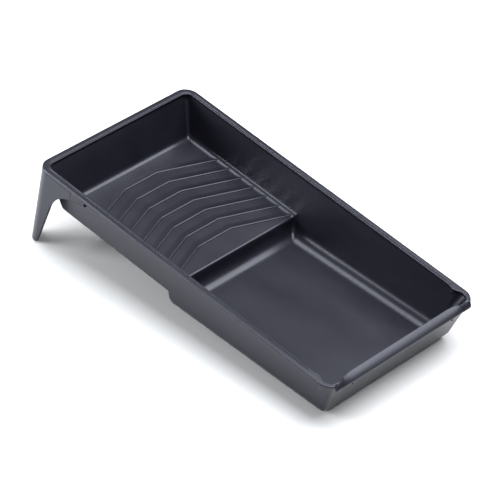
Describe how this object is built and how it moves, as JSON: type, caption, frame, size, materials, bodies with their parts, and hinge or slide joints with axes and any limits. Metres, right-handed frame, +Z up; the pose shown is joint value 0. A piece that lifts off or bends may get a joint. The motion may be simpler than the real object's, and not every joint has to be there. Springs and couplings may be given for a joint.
{
  "type": "paint roller tray",
  "caption": "Small moulded paint tray: a ribbed ramp runs down to a paint well, with a grooved rim, a rolled pouring lip and rear legs.",
  "frame": {"origin": "on the table, under the middle of the tray's outline, with the tray standing on its two legs and the front edge of its well", "axes": "+X runs from the legs towards the pouring lip, +Y across the tray, to the right of a person at the lip who faces the legs, +Z up from the table"},
  "size_m": [0.3056, 0.16, 0.0697],
  "materials": {
    "tray_plastic": "satin moulded dark grey polypropylene"
  },
  "bodies": {
    "root": {"rear_wall": "tray_plastic", "ramp_deck": "tray_plastic", "step_wall": "tray_plastic", "well_floor": "tray_plastic", "front_wall": "tray_plastic", "left_ramp_wall": "tray_plastic", "right_ramp_wall": "tray_plastic", "left_well_wall": "tray_plastic", "right_well_wall": "tray_plastic", "rear_rim": "tray_plastic", "left_rim": "tray_plastic", "right_rim": "tray_plastic", "left_spout": "tray_plastic", "right_spout": "tray_plastic", "pouring_lip": "tray_plastic", "left_leg": "tray_plastic", "right_leg": "tray_plastic", "left_leg_gusset": "tray_plastic", "right_leg_gusset": "tray_plastic", "left_lip_lug": "tray_plastic", "right_lip_lug": "tray_plastic", "rib_1": "tray_plastic", "rib_2": "tray_plastic", "rib_3": "tray_plastic", "rib_4": "tray_plastic", "rib_5": "tray_plastic", "rib_6": "tray_plastic", "rib_7": "tray_plastic"}
  },
  "joints": []
}
